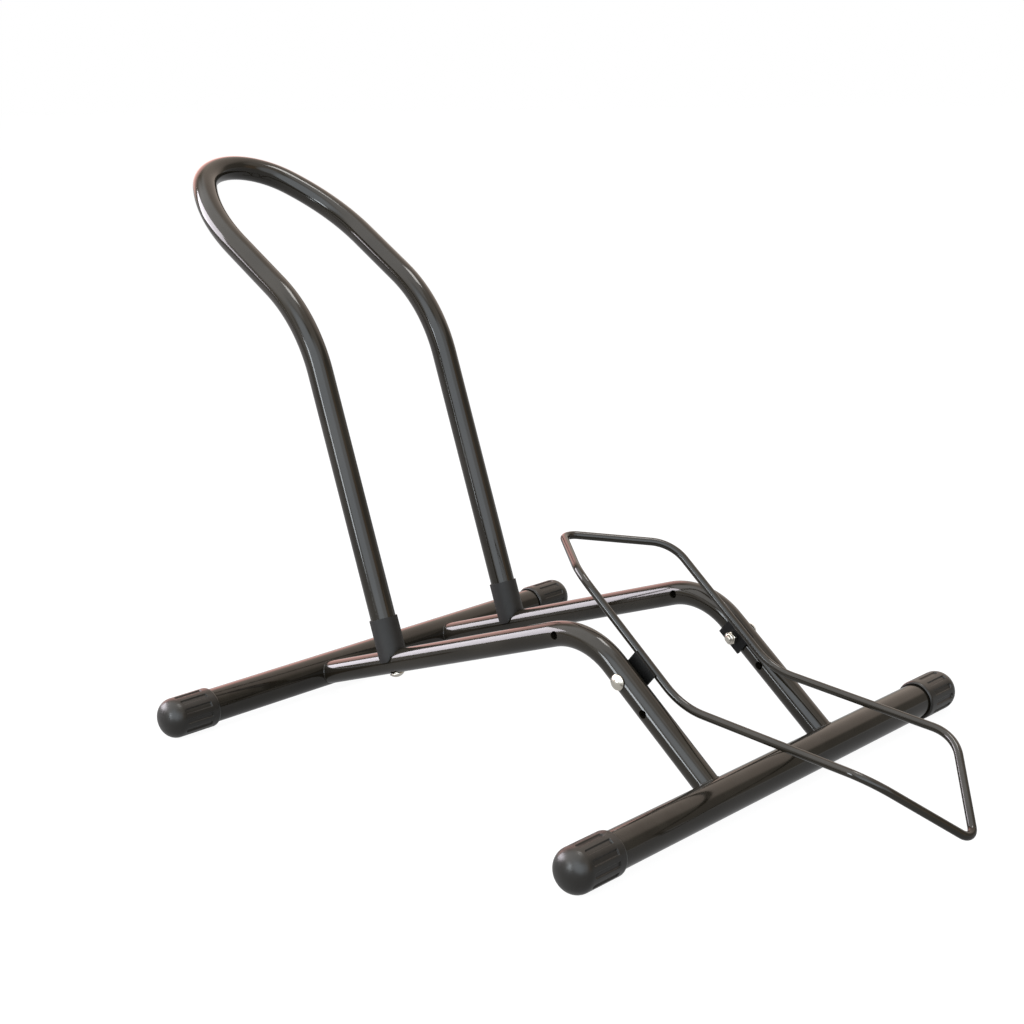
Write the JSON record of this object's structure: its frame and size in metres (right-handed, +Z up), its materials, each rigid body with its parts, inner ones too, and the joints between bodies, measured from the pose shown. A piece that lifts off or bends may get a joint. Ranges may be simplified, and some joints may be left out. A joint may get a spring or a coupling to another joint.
{
  "type": "floor bike rack",
  "caption": "Free-standing floor rack for a bicycle wheel: tube base, tall hoop that holds the tyre, and a tilting wire cradle that the wheel rolls into.",
  "frame": {"origin": "on the floor at the centre of the bounding box, half way between the crown of the hoop and the tip of the cradle's tail", "axes": "+X back along the rack, from the hoop towards the cradle's tail where the wheel rolls in; +Y to the right along the cross tubes; +Z up"},
  "size_m": [0.661, 0.41, 0.38],
  "materials": {
    "black_paint": "gloss",
    "black_paint_flat": "satin",
    "black_plastic": "satin",
    "plated_steel": "satin"
  },
  "bodies": {
    "base_frame": {"front_cross_tube": "black_paint", "rear_cross_tube": "black_paint", "left_rail": "black_paint", "right_rail": "black_paint", "left_socket": "black_plastic", "right_socket": "black_plastic", "left_leg_plug": "plated_steel", "right_leg_plug": "plated_steel", "hoop": "black_paint", "left_hoop_bolt": "plated_steel", "right_hoop_bolt": "plated_steel", "front_left_cap": "black_plastic", "front_right_cap": "black_plastic", "rear_left_cap": "black_plastic", "rear_right_cap": "black_plastic", "left_pivot_bolt": "plated_steel", "right_pivot_bolt": "plated_steel", "left_pivot_nut": "plated_steel", "right_pivot_nut": "plated_steel"},
    "cradle": {"cradle_loop": "black_paint", "left_cradle_plate": "black_paint_flat", "right_cradle_plate": "black_paint_flat"}
  },
  "joints": [
    {"name": "cradle_tilt", "type": "hinge", "parent": "base_frame", "child": "cradle", "pos_m": [0.12284, 0, 0.07222], "axis": [0, -1, 0], "range_deg": [-1.4, 67.4]}
  ]
}
